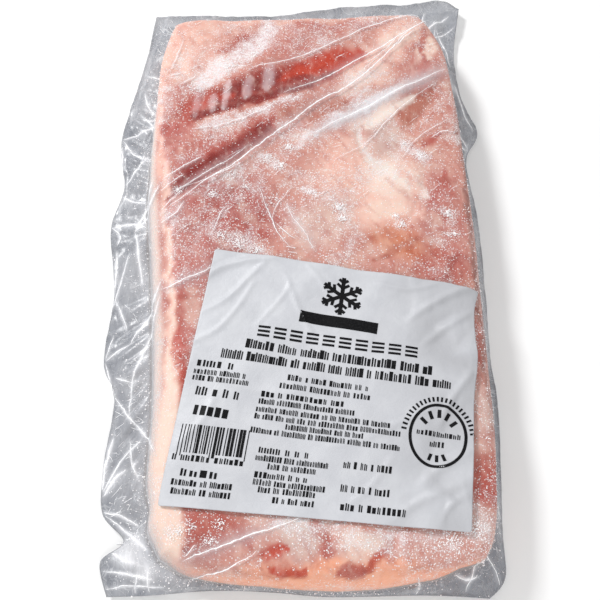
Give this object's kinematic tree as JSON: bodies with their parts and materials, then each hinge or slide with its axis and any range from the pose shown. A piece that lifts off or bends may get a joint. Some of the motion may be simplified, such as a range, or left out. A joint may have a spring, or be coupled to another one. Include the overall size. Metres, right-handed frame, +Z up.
{
  "type": "frozen pork belly slab in clear film",
  "caption": "Frozen skin-on pork belly slab sealed in a loose clear film bag, lying flat, with a large white paper label stuck on top.",
  "frame": {"origin": "on the surface the slab lies on, at the middle of the bag's outline", "axes": "+Y along the slab's length, +Z up from its skin to its cut face, +X across it"},
  "size_m": [0.3399, 0.5757, 0.0472],
  "materials": {
    "frozen_meat": "frosted raw meat, salmon to dark red with cream fat, under film",
    "clear_film": "thin clear film, glossy, crumpled",
    "label_paper": "matte white coated paper",
    "label_ink": "matte black printing ink"
  },
  "bodies": {
    "root": {"film_bag": "frozen_meat", "label": "label_paper"}
  },
  "joints": []
}
